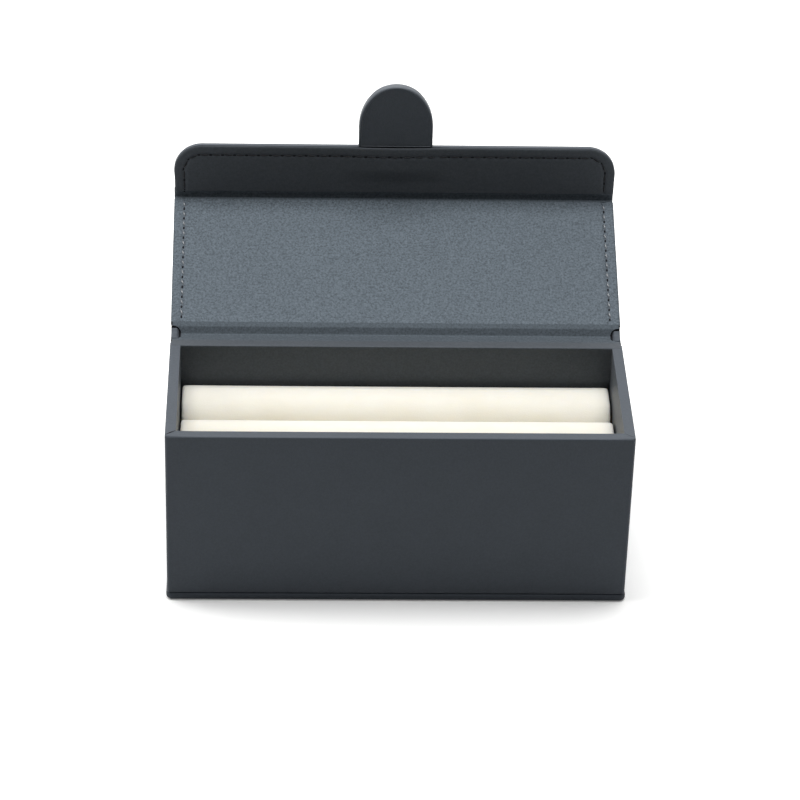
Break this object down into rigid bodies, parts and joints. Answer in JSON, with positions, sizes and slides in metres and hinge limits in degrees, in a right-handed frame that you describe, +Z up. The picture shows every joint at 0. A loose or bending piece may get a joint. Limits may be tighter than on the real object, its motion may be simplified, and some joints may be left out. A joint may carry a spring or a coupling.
{
  "type": "ring box",
  "caption": "Long leatherette ring box with a fold-back lid, a folding front flap with a rounded magnetic pull tab, and cream velvet rolls that grip rings.",
  "frame": {"origin": "middle of the underside of the base plate, the face the box stands on", "axes": "+X along the box, -Y its front, +Z up; the lid opens about X at the rear rim"},
  "size_m": [0.1306, 0.1001, 0.1128],
  "materials": {
    "leatherette_outer": "dark slate blue-grey fine-grained leatherette with a soft satin sheen",
    "leatherette_lining": "slate blue-grey leatherette lining with a fine pearly fleck",
    "cream_velvet": "warm ivory short-pile velvet",
    "foam": "white upholstery foam",
    "greyboard": "grey bookbinder's board",
    "card": "pale backing card",
    "catch_steel": "zinc-plated steel and magnet discs"
  },
  "bodies": {
    "case": {"base_board": "greyboard", "base_wrap": "leatherette_outer", "floor_board": "greyboard", "front_board": "greyboard", "back_board": "greyboard", "left_board": "greyboard", "right_board": "greyboard", "catch_plate": "catch_steel", "body_wrap": "leatherette_outer", "inner_lining": "leatherette_lining", "back_lining": "leatherette_lining", "spine_skin": "leatherette_outer", "insert_card": "card", "front_roll_core": "foam", "middle_roll_core": "foam", "rear_roll_core": "foam", "front_roll_cover": "cream_velvet", "middle_roll_cover": "cream_velvet", "rear_roll_cover": "cream_velvet", "hinge_lining": "leatherette_lining", "hinge_skin": "leatherette_outer"},
    "lid": {"lid_board": "greyboard", "lid_lining": "leatherette_lining", "lid_skin": "leatherette_outer", "crease_lining": "leatherette_lining", "crease_skin": "leatherette_outer"},
    "flap": {"flap_board": "greyboard", "flap_lining": "leatherette_lining", "flap_skin": "leatherette_outer", "tab_skin": "leatherette_outer", "tab_core": "greyboard", "tab_magnet": "catch_steel"}
  },
  "joints": [
    {"name": "lid_hinge", "type": "hinge", "parent": "case", "child": "lid", "pos_m": [0, 0.025, 0.0555], "axis": [-1, 0, 0], "range_deg": [-156, 54], "deforming": ["hinge_lining", "hinge_skin"]},
    {"name": "flap_hinge", "type": "hinge", "parent": "lid", "child": "flap", "pos_m": [0, 0.07174, 0.07565], "axis": [-1, 0, 0], "range_deg": [-24, 66], "deforming": ["crease_lining", "crease_skin"]}
  ]
}
